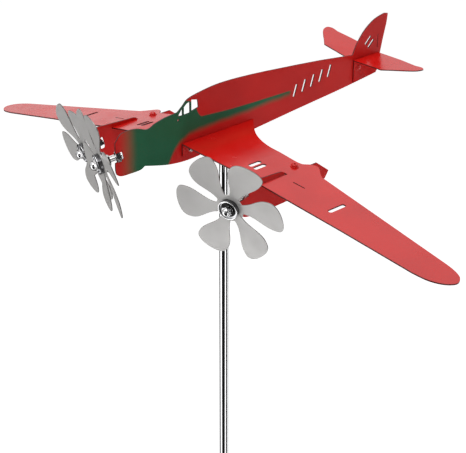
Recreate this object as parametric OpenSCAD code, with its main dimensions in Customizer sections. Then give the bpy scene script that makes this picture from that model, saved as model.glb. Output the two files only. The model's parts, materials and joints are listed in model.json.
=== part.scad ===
// Trimotor aeroplane wind spinner: a sheet-metal monoplane that turns on a pole,
// with three six-bladed propellers on ball bearings.
// Millimetres. The nose points along -X, starboard is +Y and +Z is up.
// The origin is on the pole's axis, where the ground spike's straight shank begins.

/* [Pole] */
// Outside diameter of the pole and of the spike's shank
pole_d = 10; // [9:0.5:12]
// Wall thickness of the two pole tubes
pole_wall = 1; // [0.8:0.1:1.5]
// Length of each of the two pole tubes
tube_len = 400; // [300:10:500]
// Length of the spike's straight shank
shank_len = 250; // [150:10:300]
// Length of the spike's point
point_len = 30; // [20:1:40]
// Height of the collar on each coupler
collar_h = 4; // [3:0.5:6]
// How far each collar stands proud of the tubes
collar_proud = 0.5; // [0.2:0.1:1]
// How far a coupler or the spindle goes into a tube
plug_len = 35; // [25:1:40]

/* [Swivel] */
// Diameter of the spindle's pin
pin_d = 6; // [5:0.1:6.4]
// Radial running clearance of the pin in its sleeve
pin_gap = 0.05; // [0.03:0.01:0.08]
// Outside diameter of the sleeve that the aeroplane turns on
sleeve_d = 12; // [11:0.5:12]
// Length of the sleeve
sleeve_len = 33.5; // [30:0.5:36]

/* [Sheet metal] */
// Thickness of the body, wing and nacelle sheet
sheet_t = 1.5; // [1.2:0.1:1.8]
// Thickness of the tailplane sheet
tail_t = 1.2; // [1:0.1:1.5]

/* [Wings] */
// Distance from the middle of the body to the fold in each wing
fold_y = 78; // [70:1:84]
// Length of the outer panel, from the fold to the tip
outer_len = 262; // [255:1:275]
// How far the inner panel slopes down
inner_droop = 4.5; // [2:0.5:6]
// How far the outer panel slopes down
outer_droop = 10; // [6:0.5:12]
// Distance from the middle of the body to each nacelle plate
nacelle_y = 110.5; // [109:0.5:115]

/* [Tail] */
// How far the tailplane halves rise towards their tips
tail_rise = 6; // [3:0.5:8]
// How far the tailplane is rolled to one side, as fitted by hand
tail_roll = 6.5; // [0:0.5:7]
// How far the tailplane is turned on the body, as fitted by hand
tail_skew = 2; // [0:0.5:5]
// Bend of the outer part of each half along its diagonal fold
tail_bend = 1; // [0:0.5:6]

/* [Propellers] */
// Radius of a propeller
prop_r = 58; // [56:0.5:60]
// Number of blades
blade_n = 6; // [6:1:6]
// Greatest width of a blade
blade_w = 33.5; // [28:0.5:35]
// Pitch of a blade at its tip
blade_pitch = -4; // [-8:1:8]
// How far the middle of a blade's tip is swept to one side
blade_sweep = 6.5; // [0:0.5:8]
// How far the blades' tips stand ahead of their roots
blade_cone = 2.5; // [0:0.5:4]
// Thickness of the propeller sheet
blade_t = 1; // [0.8:0.1:1.2]
// How far the axles turn to port, as bent by hand: nose, port, starboard
axle_yaw = [-23, 16, -15]; // [-25:1:25]
// How far the axles point down: nose, port, starboard
axle_dive = [13, 12, 18]; // [0:1:20]
// Which way each propeller happens to be turned: nose, port, starboard
prop_turn = [19.5, 6.5, 16.5]; // [0:0.5:59]

/* [Hidden] */

$fn = 48;
eps = 0.01;
through = 60;           // depth of a cutter that goes right through a sheet
curve_steps = 5;        // steps between two points of a smooth outline

// Heights of the pole's pieces
lower_tube_z = shank_len + collar_h;
upper_tube_z = lower_tube_z + tube_len + collar_h;
pole_top_z = upper_tube_z + tube_len;
spindle_flange_h = 2;
washer_t = 1;
washer_gap = 0.1;
pole_bore_r = pole_d / 2 - pole_wall;
pin_r = pin_d / 2;
sleeve_bore_r = pin_r + pin_gap;
ball_r = 2.5;
plug_t = 2.5;
sleeve_z = pole_top_z + spindle_flange_h + washer_t + 2 * washer_gap;
sleeve_top_z = sleeve_z + sleeve_len;

// The aeroplane's own outlines are drawn about the nose axle's height
wing_root_drop = 10;
wing_gap = 1.75;        // from the sleeve's top to the middle of the wing sheet
flight_z = sleeve_top_z + wing_gap + wing_root_drop;

// Wing: the middles of the sheets meet on the fold lines
root_y = sheet_t;       // middle of the root flange, flat against the body sheet
root_z = flight_z - wing_root_drop;
inner_len = (fold_y - root_y) / cos(inner_droop);
fold_z = root_z - (fold_y - root_y) * tan(inner_droop);
flange_h = 13;
flange_gap = 9;         // half the space that the root flanges leave for the sleeve
root_screw_x = [-50, -24, 26];
root_screw_drop = 17;

// Nacelle screw: an M4 with a washer on the wing's upper face
nacelle_screw = [-5, 29];
slot_gap = 0.1;
slot_clear = 2.6;       // opening left on the outboard side of the nacelle's raised edge
nacelle_slot_end = -23;

// Fasteners
m4_r = 2;
m4_hole_r = 2.1;
m4_nut_af = 7;
m4_nut_h = 3.2;
m6_nut_af = 10;
m6_nut_h = 5;
rivet_r = 1.5;

// Engines: the captive nut's middle, and how far ahead of it the propeller sheet is
nut_in = 1.5;           // a nacelle's nut is welded this far inboard of its sheet
nut_at = [
    [-147.5, 0, flight_z],
    [-82, nut_in - nacelle_y, flight_z - 26.5],
    [-79.5, nacelle_y - nut_in, flight_z - 34.5]
];
prop_ahead = [18, 26, 18];
axle_r = 3;
axle_tail = 4;
notch_back = 5.5;

// Bearing of 6 x 19 x 6 and the cup that holds it, along the axle from the propeller sheet
bearing_r = 9.5;
bearing_w = 6;
bearing_back = -2.5;
bearing_front = bearing_back + bearing_w;
inner_ring_r = 4.6;
outer_ring_r = 8;
race_gap = 0.05;
bearing_ball_n = 7;
shield_t = 0.4;
cup_r = 10.5;
cup_lip_r = 8.3;
cup_back = -4;
cup_front = bearing_front + 1.8;
spacer_r = 4.4;
rear_spacer_len = 1.5;
front_washer_t = 1;
acorn_h = 7.5;

// Smooth curve through knots k (Catmull-Rom), without its last point
function knot(k, i) = k[max(0, min(len(k) - 1, i))];
function blend(a, b, c, d, t) =
    0.5 * (2 * b + (c - a) * t + (2 * a - 5 * b + 4 * c - d) * t * t + (3 * b - a - 3 * c + d) * t * t * t);
function smooth(k, n = curve_steps) = [
    for (i = [0 : len(k) - 2]) for (j = [0 : n - 1])
        blend(knot(k, i - 1), knot(k, i), knot(k, i + 1), knot(k, i + 2), j / n)
];

// A sheet lying in XY with its middle at z = 0
module sheet(outline, t) {
    linear_extrude(height = t, center = true) polygon(outline);
}

// A sheet standing in XZ with its middle at y = 0
module standing(outline, t) {
    rotate([90, 0, 0]) sheet(outline, t);
}

// A round-ended slot through a sheet lying in XY, from a to b
module slot_cut(a, b, w) {
    d = b - a;
    l = norm(d);
    translate([a[0], a[1], -through / 2]) rotate([0, 0, atan2(d[1], d[0])]) {
        translate([0, -w / 2, 0]) cube([l, w, through]);
        cylinder(h = through, r = w / 2);
        translate([l, 0, 0]) cylinder(h = through, r = w / 2);
    }
}

module hex(af, h) {
    cylinder(h = h, r = af / 2 / cos(30), $fn = 6);
}

// The round of a bend in a sheet of thickness t, running along +X from the origin
module bend(len, t) {
    rotate([0, 90, 0]) cylinder(h = len, r = t / 2, $fn = 24);
}

module ring(r_out, r_in, h) {
    difference() {
        cylinder(h = h, r = r_out);
        translate([0, 0, -eps]) cylinder(h = h + 2 * eps, r = r_in);
    }
}

// Places

// Frame of engine i: origin at its captive nut, +Z forward along the axle
module at_nut(i) {
    translate(nut_at[i]) rotate([0, -90 - axle_dive[i], axle_yaw[i]]) children();
}

// Frame of engine i at its propeller sheet
module at_prop(i) {
    at_nut(i) translate([0, 0, prop_ahead[i]]) children();
}

// Side is 1 for starboard and -1 for port
module on_side(side) {
    mirror([0, side < 0 ? 1 : 0, 0]) children();
}

module at_inner_panel() {
    translate([0, root_y, root_z]) rotate([-inner_droop, 0, 0]) children();
}

module at_outer_panel() {
    translate([0, fold_y, fold_z]) rotate([-outer_droop, 0, 0]) children();
}

// Pole

module ground_spike() {
    color("silver") difference() {
        union() {
            cylinder(h = shank_len, r = pole_d / 2);
            translate([0, 0, -point_len]) cylinder(h = point_len, r1 = 0.8, r2 = pole_d / 2);
        }
        translate([0, 0, shank_len - plug_len]) cylinder(h = plug_len + eps, r = pole_bore_r);
    }
}

module pole_tube(z) {
    color("silver") translate([0, 0, z]) ring(pole_d / 2, pole_bore_r, tube_len);
}

// A plug that joins two lengths of the pole, with a collar between them
module coupler(collar_z) {
    color("gainsboro") {
        translate([0, 0, collar_z - plug_len]) cylinder(h = 2 * plug_len + collar_h, r = pole_bore_r);
        translate([0, 0, collar_z]) cylinder(h = collar_h, r = pole_d / 2 + collar_proud);
    }
}

module pivot_spindle() {
    color("gainsboro") translate([0, 0, pole_top_z]) {
        translate([0, 0, -plug_len]) cylinder(h = plug_len, r = pole_bore_r);
        cylinder(h = spindle_flange_h, r = pole_d / 2);
        cylinder(h = sleeve_top_z - plug_t - 2 * ball_r - 2 * eps - pole_top_z, r = pin_r);
    }
}

module thrust_washer() {
    color("gold") translate([0, 0, pole_top_z + spindle_flange_h + washer_gap])
        ring(sleeve_d / 2, pin_r + 0.1, washer_t);
}

// Swivel parts that turn with the aeroplane

module pivot_sleeve() {
    color("silver") translate([0, 0, sleeve_z]) ring(sleeve_d / 2, sleeve_bore_r, sleeve_len);
}

module thrust_plug() {
    color("gainsboro") translate([0, 0, sleeve_top_z - plug_t]) cylinder(h = plug_t, r = sleeve_bore_r);
}

module thrust_ball() {
    color("white") translate([0, 0, sleeve_top_z - plug_t - ball_r]) sphere(r = ball_r);
}

// Four beads where the sleeve meets the edges of its slot in the body sheet
module sleeve_welds() {
    bead_r = 1.2;
    bead_len = 11;
    out = sleeve_d / 2 * 0.985;
    off = sheet_t / 2 + bead_r * 0.55;
    color("dimgray") for (a = [-1, 1], b = [-1, 1])
        translate([a * out, b * off, sleeve_top_z - bead_len - 1]) difference() {
            cylinder(h = bead_len, r = bead_r, $fn = 24);
            translate([-a * out, -b * off, -1]) cylinder(h = bead_len + 2, r = sleeve_d / 2);
            translate([-bead_len / 2, -b * off - sheet_t / 2, -1]) cube([bead_len, sheet_t, bead_len + 2]);
        }
}

// Body sheet

nose_top = smooth([[-151, 15], [-144, 22.5], [-134, 24], [-121, 22.5], [-108, 18.5], [-97, 22], [-82, 25]]);
screen_and_back = smooth([[-67, 26], [-60, 31], [-52, 37], [-34, 40.5], [-5, 43], [39, 41.5], [101, 36.5],
    [160, 31]]);
fin = smooth([[206, 25.5], [213, 37.5], [226, 51], [243, 60.5], [263, 64.5]]);
rudder = [[265.8, 62.8], [264, 52], [258, 32], [253.5, 14], [251, -1], [248, -4.5]];
belly = smooth([[242, -5.2], [186, -10.5], [119, -15.5], [46, -21.5], [-15, -27], [-50, -29.8], [-78, -27.8],
    [-105, -21.8]]);
chin = smooth([[-113, -19.6], [-119, -22.2], [-132, -22.4], [-144, -21.8], [-150, -18.5], [-151.5, -12]]);
body_outline = concat(nose_top, screen_and_back, fin, rudder, belly, chin, [[-151.5, -11]]);

windows = [
    [[-66.5, 21.5], [-60, 21], [-60, 29.5]],
    [[-58, 21], [-49.5, 21.5], [-49.5, 33.5], [-54, 32.5], [-58, 29.5]],
    [[-47.5, 22.5], [-37.5, 24.5], [-38.5, 33], [-47.5, 35]]
];
peep_hole = [-66, 17.2];
peep_hole_r = 1.2;

// Plain slanted slots along the rear of the body: first foot, step, number, lean, height and width
vent_foot = [108, 1];
vent_step = [14, 2.4];
vent_n = 5;
vent_lean = 4;
vent_h = 11;
vent_w = 3.2;
fin_slots = [[[228, 34], [236, 41]], [[233, 29], [241, 36]]];
fin_slot_w = 2.6;
rudder_line = [[249, 26], [249.5, 41]];
rudder_line_w = 0.9;

module body_cuts() {
    for (w = windows) sheet(w, through);
    translate([peep_hole[0], peep_hole[1], -through / 2]) cylinder(h = through, r = peep_hole_r);
    for (i = [0 : vent_n - 1])
        slot_cut(vent_foot + i * vent_step, vent_foot + i * vent_step + [vent_lean, vent_h], vent_w);
    for (s = fin_slots) slot_cut(s[0], s[1], fin_slot_w);
    slot_cut(rudder_line[0], rudder_line[1], rudder_line_w);
}

module at_root_screws() {
    for (x = root_screw_x) translate([x, 0, flight_z - root_screw_drop]) rotate([90, 0, 0]) children();
}

rivet_at = [[216, 9], [236, 7]];

module at_rivets() {
    for (p = rivet_at) translate([p[0], 0, flight_z + p[1]]) rotate([90, 0, 0]) children();
}

// Open-ended notch that the captive nut is welded into
module notch_cut(i) {
    at_nut(i) translate([-m6_nut_af / 2, -through / 2, -notch_back])
        cube([m6_nut_af, through, notch_back + through]);
}

module fuselage() {
    color("firebrick") difference() {
        translate([0, 0, flight_z]) rotate([90, 0, 0]) difference() {
            sheet(body_outline, sheet_t);
            body_cuts();
        }
        translate([-sleeve_d / 2, -through / 2, sleeve_z]) cube([sleeve_d, through, sleeve_len]);
        at_root_screws() translate([0, 0, -through / 2]) cylinder(h = through, r = m4_hole_r);
        at_rivets() translate([0, 0, -through / 2]) cylinder(h = through, r = rivet_r);
        notch_cut(0);
    }
}

// Wings: the outlines run from the root or the fold outwards

root_front = -62;
root_back = 43;
fold_front = -64;
fold_back = 4;
inner_outline = concat(
    [[fold_front, inner_len], [root_front, 0], [root_back, 0]],
    smooth([[26, 18], [17, 30], [10, 44], [5.5, 60], [fold_back, inner_len]]),
    [[fold_back, inner_len]]
);
tip = smooth([[-55, 226], [-52, 243], [-44, 256], [-33, outer_len], [-23, 257], [-17.5, 244], [-15, 226]]);
bump = smooth([[3, 60], [8, 53], [15, 44], [13, 36], [6, 30], [fold_back, 22]]);
outer_outline = concat([[fold_front, 0], [-61, 42], [-57, 140]], tip, [[-9, 174], [-3, 117]], bump,
    [[fold_back, 0]]);

// Plain slots in the outer panel, as distance along the chord and from the fold
panel_slots = [
    [[-42, 3], [-30, 3]], [[-42, 10], [-30, 10]], [[-39, 109.5], [-20, 109.5]]
];
panel_slot_w = 5;
tab_slit = [[-29.5, 51], [-28.5, 65]];
tab_slit_w = 1.4;

module wing_half() {
    difference() {
        union() {
            for (x = [[root_front, -flange_gap], [flange_gap, root_back - 1]])
                translate([x[0], root_y - sheet_t / 2, root_z - flange_h])
                    cube([x[1] - x[0], sheet_t, flange_h]);
            translate([root_front, root_y, root_z]) bend(root_back - root_front, sheet_t);
            at_inner_panel() sheet(inner_outline, sheet_t);
            translate([fold_front, fold_y, fold_z]) bend(fold_back - fold_front, sheet_t);
            at_outer_panel() difference() {
                sheet(outer_outline, sheet_t);
                for (s = panel_slots) slot_cut(s[0], s[1], panel_slot_w);
                slot_cut(tab_slit[0], tab_slit[1], tab_slit_w);
                translate([nacelle_screw[0], nacelle_screw[1], -through / 2])
                    cylinder(h = through, r = m4_hole_r);
            }
        }
        at_root_screws() translate([0, 0, -through / 2]) cylinder(h = through, r = m4_hole_r);
        translate([nacelle_slot_end - through, nacelle_y - sheet_t / 2 - slot_gap, flight_z - through])
            cube([through, sheet_t + slot_gap + slot_clear, through]);
    }
}

// Nacelles

// The tab that is bent over and screwed under the wing, and where its bend lies
nacelle_tab_x = [-14, 5];
nacelle_tab_w = 15;
tab_drop = sheet_t;
tab_s = (nacelle_y - fold_y - tab_drop * sin(outer_droop)) / cos(outer_droop);
tab_bend_z = fold_z - flight_z - tab_s * sin(outer_droop) - tab_drop * cos(outer_droop);
nacelle_outline = concat(
    smooth([[-88.5, -22], [-88, -18], [-83, -15.6], [-70, -16], [-50, -17], [-30, -18], [-25, -20]]),
    [[nacelle_slot_end - slot_gap, tab_bend_z], [24, tab_bend_z], [42.5, -36.5]],
    smooth([[37, -44], [10, -49.5], [-20, -52.5], [-60, -53], [-80, -51.5], [-87.5, -46], [-88.5, -40]]),
    [[-88.5, -38]]
);

module nacelle_shape() {
    difference() {
        union() {
            translate([0, nacelle_y, flight_z]) standing(nacelle_outline, sheet_t);
            at_outer_panel() translate([nacelle_tab_x[0], tab_s - nacelle_tab_w, -tab_drop - sheet_t / 2])
                cube([nacelle_tab_x[1] - nacelle_tab_x[0], nacelle_tab_w, sheet_t]);
            at_outer_panel() translate([nacelle_tab_x[0], tab_s, -tab_drop])
                bend(nacelle_tab_x[1] - nacelle_tab_x[0], sheet_t);
        }
        at_outer_panel() translate([nacelle_screw[0], nacelle_screw[1], -through / 2])
            cylinder(h = through, r = m4_hole_r);
    }
}

module nacelle(i, side) {
    color("red") difference() {
        on_side(side) nacelle_shape();
        notch_cut(i);
    }
}

// Tailplane

tail_root_z = flight_z + 19;
tail_y = sheet_t / 2 + tail_t / 2;
tail_front = 206;
tail_te = [250, 0];
tail_elbow = [205, 43];
tail_inner = [[tail_front, 0], tail_te, tail_elbow];
tail_outer = concat(
    [tail_te],
    [[249, 36]],
    smooth([[246, 60], [247, 68.5], [243, 74], [233.5, 71.5], [224, 63], [213.5, 51.5]]),
    [tail_elbow]
);
tail_flange = [[207, 18.5], [249, 18.5], [248.5, 0], [246, -3.5], [221, -6], [207, -7]];
tail_fold_angle = atan2(tail_elbow[1] - tail_te[1], tail_elbow[0] - tail_te[0]);

// Frame on the diagonal fold: origin at the trailing edge, +X along the fold
module at_tail_fold() {
    translate([tail_te[0], tail_te[1], 0]) rotate([0, 0, tail_fold_angle]) children();
}

module tail_half(side) {
    difference() {
        translate([0, tail_y, 0]) {
            translate([0, 0, flight_z]) standing(tail_flange, tail_t);
            translate([tail_front, 0, tail_root_z]) bend(tail_te[0] - tail_front, tail_t);
            translate([0, 0, tail_root_z]) rotate([tail_rise + side * tail_roll, 0, 0])
                multmatrix([[1, side * tan(tail_skew), 0, 0], [0, 1, 0, 0], [0, 0, 1, 0], [0, 0, 0, 1]]) {
                    sheet(tail_inner, tail_t);
                    at_tail_fold() rotate([tail_bend, 0, 0]) rotate([0, 0, -tail_fold_angle])
                        translate([-tail_te[0], -tail_te[1], 0]) sheet(tail_outer, tail_t);
                    at_tail_fold() bend(norm(tail_elbow - tail_te), tail_t);
                }
        }
        at_rivets() translate([0, 0, -through / 2]) cylinder(h = through, r = rivet_r);
    }
}

// Fasteners of the sheet metal

module wing_root_screws() {
    tip = 1.3;          // how far a screw comes through its nut
    head_r = 3.8;
    head_h = 2.2;
    color("silver") at_root_screws() {
        translate([0, 0, -sheet_t * 1.5 - m4_nut_h - tip]) cylinder(h = 3 * sheet_t + m4_nut_h + tip, r = m4_r);
        translate([0, 0, sheet_t * 1.5]) difference() {
            cylinder(h = head_h, r1 = head_r, r2 = head_r * 0.7);
            translate([0, 0, head_h - 1.2]) hex(2.5, 2);
        }
    }
}

module wing_root_nuts() {
    color("silver") at_root_screws() translate([0, 0, -sheet_t * 1.5 - m4_nut_h]) difference() {
        hex(m4_nut_af, m4_nut_h);
        translate([0, 0, -eps]) cylinder(h = m4_nut_h + 2 * eps, r = m4_r);
    }
}

module at_nacelle_screws() {
    for (side = [-1, 1]) on_side(side) at_outer_panel()
        translate([nacelle_screw[0], nacelle_screw[1], 0]) children();
}

washer_h = 0.8;

module nacelle_washers() {
    color("firebrick") at_nacelle_screws() translate([0, 0, sheet_t / 2]) ring(4.5, m4_hole_r, washer_h);
}

module nacelle_screws() {
    head_r = 3.5;
    head_h = 2.4;
    foot = sheet_t * 1.5 + m4_nut_h + 1.2;
    color("firebrick") at_nacelle_screws() {
        translate([0, 0, -foot]) cylinder(h = foot + sheet_t / 2 + washer_h, r = m4_r);
        translate([0, 0, sheet_t / 2 + washer_h]) difference() {
            cylinder(h = head_h, r1 = head_r, r2 = head_r * 0.65);
            translate([0, 0, head_h - 1.2]) hex(2.5, 2);
        }
    }
}

module nacelle_nuts() {
    color("silver") at_nacelle_screws() translate([0, 0, -sheet_t * 1.5 - m4_nut_h]) difference() {
        hex(m4_nut_af, m4_nut_h);
        translate([0, 0, -eps]) cylinder(h = m4_nut_h + 2 * eps, r = m4_r);
    }
}

module tailplane_rivets() {
    half_stack = sheet_t / 2 + tail_t;
    head_r = 2.8;
    head_h = 1.1;
    color("firebrick") at_rivets() {
        translate([0, 0, -half_stack]) cylinder(h = 2 * half_stack, r = rivet_r);
        translate([0, 0, half_stack]) cylinder(h = head_h, r1 = head_r, r2 = head_r * 0.55);
        translate([0, 0, -half_stack - head_h]) cylinder(h = head_h, r1 = head_r * 0.55, r2 = head_r);
    }
}

// Axles and what stays still on them

module axle(i) {
    color("silver") at_nut(i) translate([0, 0, -axle_tail])
        cylinder(h = axle_tail + prop_ahead[i] + bearing_front + front_washer_t + acorn_h - 2.5, r = axle_r);
}

module nut_m6(h) {
    difference() {
        hex(m6_nut_af, h);
        translate([0, 0, -eps]) cylinder(h = h + 2 * eps, r = axle_r);
    }
}

// A flat of each captive nut lies on the notch's upper and lower edge
module captive_nuts() {
    color("silver") for (i = [0 : 2]) at_nut(i) rotate([0, 0, 30]) translate([0, 0, -m6_nut_h / 2])
        nut_m6(m6_nut_h);
}

module rear_spacers() {
    color("silver") for (i = [0 : 2]) at_prop(i) translate([0, 0, bearing_back - rear_spacer_len])
        ring(spacer_r, axle_r, rear_spacer_len);
}

module lock_nuts() {
    color("silver") for (i = [0 : 2]) at_prop(i) rotate([0, 0, 30])
        translate([0, 0, bearing_back - rear_spacer_len - m6_nut_h]) nut_m6(m6_nut_h);
}

module bearing_inner_rings() {
    color("silver") for (i = [0 : 2]) at_prop(i) translate([0, 0, bearing_back])
        ring(inner_ring_r, axle_r, bearing_w);
}

module front_washers() {
    color("silver") for (i = [0 : 2]) at_prop(i) translate([0, 0, bearing_front])
        ring(spacer_r, axle_r, front_washer_t);
}

// Domed nut, bored blind for the axle's end
module acorn_nuts() {
    hex_h = 3.8;
    dome_r = 4.5;
    flat_h = acorn_h - dome_r;
    color("white") for (i = [0 : 2]) at_prop(i) translate([0, 0, bearing_front + front_washer_t])
        difference() {
            union() {
                hex(m6_nut_af, hex_h);
                intersection() {
                    translate([0, 0, flat_h]) sphere(r = dome_r);
                    translate([0, 0, hex_h - 1]) cylinder(h = acorn_h, r = dome_r);
                }
            }
            translate([0, 0, -eps]) cylinder(h = acorn_h - 2.5 + eps, r = axle_r);
        }
}

// Propellers

blade_root_r = 9;
neck_w = 9.5;
root_pitch = -2.5;
pitch_u = 0.4;          // share of the blade over which the pitch comes in
widest_u = 0.75;        // share of the blade at which its round end begins
blade_stations = 14;

// Width along the blade: a narrow neck that opens into a broad petal with a round end
function blade_swell(u) = neck_w + (blade_w - neck_w) * pow(sin(min(1, u / widest_u) * 90), 2.7);
function blade_end(u) = u < widest_u ? 1 : pow(max(0, 1 - pow((u - widest_u) / (1 - widest_u), 3.2)), 0.5);
function blade_half(u) = blade_swell(u) * blade_end(u) / 2 + 0.3;
function blade_turn(u) = root_pitch + (blade_pitch - root_pitch) * min(1, u / pitch_u);
function blade_u(i) = sin(i / blade_stations * 90);

// One ring of a blade: the four corners of its section, about its swept middle line
function blade_ring(i) = let (u = blade_u(i), r = blade_root_r + u * (prop_r - blade_root_r),
    w = blade_half(u), m = blade_sweep * u * u, p = blade_turn(u), rise = blade_cone * pow(u, 1.5)) [
    for (c = [[-1, -1], [1, -1], [1, 1], [-1, 1]]) [
        (m + c[0] * w) * cos(p) - c[1] * blade_t / 2 * sin(p),
        r,
        (m + c[0] * w) * sin(p) + c[1] * blade_t / 2 * cos(p) + rise
    ]
];

module blade() {
    points = [for (i = [0 : blade_stations]) each blade_ring(i)];
    last = 4 * blade_stations;
    walls = [
        for (i = [0 : blade_stations - 1]) for (j = [0 : 3]) for (k = [0, 1])
            let (a = 4 * i + j, b = 4 * i + (j + 1) % 4) k == 0 ? [a, b, b + 4] : [a, b + 4, a + 4]
    ];
    polyhedron(points = points, faces = concat([[0, 2, 1], [0, 3, 2]], walls,
        [[last, last + 1, last + 2], [last, last + 2, last + 3]]));
}

module prop(i) {
    boss_r = 15;
    color("lightgray") at_prop(i) difference() {
        union() {
            translate([0, 0, -blade_t / 2]) cylinder(h = blade_t, r = boss_r);
            for (k = [0 : blade_n - 1]) rotate([0, 0, prop_turn[i] + k * 360 / blade_n]) blade();
        }
        translate([0, 0, -through / 2]) cylinder(h = through, r = cup_r);
    }
}

module hub_cup(i) {
    color("silver") at_prop(i) difference() {
        translate([0, 0, cup_back]) cylinder(h = cup_front - cup_back, r = cup_r);
        translate([0, 0, bearing_back]) cylinder(h = through, r = bearing_r);
        translate([0, 0, cup_back - eps]) cylinder(h = through, r = cup_lip_r);
    }
}

module bearing_ring(i) {
    color("silver") at_prop(i) translate([0, 0, bearing_back]) ring(bearing_r, outer_ring_r, bearing_w);
}

module bearing_balls(i) {
    ball_d = outer_ring_r - inner_ring_r - 2 * race_gap;
    pitch_r = (outer_ring_r + inner_ring_r) / 2;
    color("white") at_prop(i) translate([0, 0, bearing_back + bearing_w / 2])
        for (k = [0 : bearing_ball_n - 1]) rotate([0, 0, k * 360 / bearing_ball_n])
            translate([pitch_r, 0, 0]) sphere(r = ball_d / 2);
}

module bearing_shields(i) {
    inset = 0.3;
    color("dimgray") at_prop(i) for (z = [bearing_back + inset, bearing_front - inset - shield_t])
        translate([0, 0, z]) ring(outer_ring_r, inner_ring_r + 0.2, shield_t);
}

ground_spike();
coupler(shank_len);  // lower_coupler
pole_tube(lower_tube_z);  // lower_pole
coupler(lower_tube_z + tube_len);  // upper_coupler
pole_tube(upper_tube_z);  // upper_pole
pivot_spindle();
thrust_washer();
fuselage();
color("red") on_side(-1) wing_half();  // port_wing
color("red") on_side(1) wing_half();  // starboard_wing
nacelle(1, -1);  // port_nacelle
nacelle(2, 1);  // starboard_nacelle
color("red") on_side(-1) tail_half(-1);  // port_tailplane
color("red") on_side(1) tail_half(1);  // starboard_tailplane
pivot_sleeve();
thrust_plug();
thrust_ball();
sleeve_welds();
wing_root_screws();
wing_root_nuts();
nacelle_screws();
nacelle_washers();
nacelle_nuts();
tailplane_rivets();
axle(0);  // nose_axle
axle(1);  // port_axle
axle(2);  // starboard_axle
captive_nuts();
lock_nuts();
rear_spacers();
bearing_inner_rings();
front_washers();
acorn_nuts();
prop(0);  // nose_prop
hub_cup(0);  // nose_hub_cup
bearing_ring(0);  // nose_bearing_ring
bearing_balls(0);  // nose_bearing_balls
bearing_shields(0);  // nose_bearing_shields
prop(1);  // port_prop
hub_cup(1);  // port_hub_cup
bearing_ring(1);  // port_bearing_ring
bearing_balls(1);  // port_bearing_balls
bearing_shields(1);  // port_bearing_shields
prop(2);  // starboard_prop
hub_cup(2);  // starboard_hub_cup
bearing_ring(2);  // starboard_bearing_ring
bearing_balls(2);  // starboard_bearing_balls
bearing_shields(2);  // starboard_bearing_shields
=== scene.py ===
import json
import math

import bmesh
import bpy
from mathutils import Matrix, Vector
from mathutils.bvhtree import BVHTree


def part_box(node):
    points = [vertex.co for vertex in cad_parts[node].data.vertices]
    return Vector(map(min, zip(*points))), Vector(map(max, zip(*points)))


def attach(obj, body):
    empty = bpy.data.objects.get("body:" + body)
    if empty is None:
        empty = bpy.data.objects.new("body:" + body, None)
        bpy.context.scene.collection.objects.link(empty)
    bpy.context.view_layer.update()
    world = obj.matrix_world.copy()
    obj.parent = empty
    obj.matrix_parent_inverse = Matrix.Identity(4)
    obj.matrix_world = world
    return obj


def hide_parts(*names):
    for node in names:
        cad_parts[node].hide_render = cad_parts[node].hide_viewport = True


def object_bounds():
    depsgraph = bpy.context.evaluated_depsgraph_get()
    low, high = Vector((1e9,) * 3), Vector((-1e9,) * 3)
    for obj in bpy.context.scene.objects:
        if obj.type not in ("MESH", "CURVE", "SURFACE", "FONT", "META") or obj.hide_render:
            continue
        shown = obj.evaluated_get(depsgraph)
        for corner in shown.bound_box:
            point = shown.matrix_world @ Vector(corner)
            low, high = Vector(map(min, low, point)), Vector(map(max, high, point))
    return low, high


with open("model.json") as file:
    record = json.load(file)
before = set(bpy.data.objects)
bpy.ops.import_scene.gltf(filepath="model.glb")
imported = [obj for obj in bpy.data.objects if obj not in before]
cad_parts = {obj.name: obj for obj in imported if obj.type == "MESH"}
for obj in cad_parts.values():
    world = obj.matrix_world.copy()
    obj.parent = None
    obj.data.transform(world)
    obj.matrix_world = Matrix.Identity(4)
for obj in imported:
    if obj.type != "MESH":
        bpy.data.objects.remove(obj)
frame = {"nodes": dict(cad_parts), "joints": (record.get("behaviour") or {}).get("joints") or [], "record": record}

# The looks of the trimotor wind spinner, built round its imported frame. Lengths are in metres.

MM = 0.001
HERE = Matrix.Identity(4)
cad_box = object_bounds()

# ---------------------------------------------------------------- the camera

CAMERA_TARGET = Vector((0.0141, 0, 0.9788))
CAMERA_AZIMUTH = math.radians(-45.08)
CAMERA_ELEVATION = math.radians(24.44)
CAMERA_DISTANCE = 1.6128
CAMERA_ROLL = math.radians(0.14)
CAMERA_LENS = 113.48


def add_camera():
    data = bpy.data.cameras.new("camera")
    data.lens = CAMERA_LENS
    data.sensor_width = 36
    data.clip_start = 0.05
    camera = bpy.data.objects.new("camera", data)
    bpy.context.scene.collection.objects.link(camera)
    flat = math.cos(CAMERA_ELEVATION)
    back = Vector((
        math.sin(CAMERA_AZIMUTH) * flat,
        -math.cos(CAMERA_AZIMUTH) * flat,
        math.sin(CAMERA_ELEVATION),
    ))
    camera.location = CAMERA_TARGET + back * CAMERA_DISTANCE
    aim = (-back).to_track_quat("-Z", "Y").to_matrix().to_4x4()
    turned = aim @ Matrix.Rotation(CAMERA_ROLL, 4, "Z")
    camera.rotation_euler = turned.to_euler()
    bpy.context.scene.camera = camera


# ---------------------------------------------------------------- materials


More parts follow.
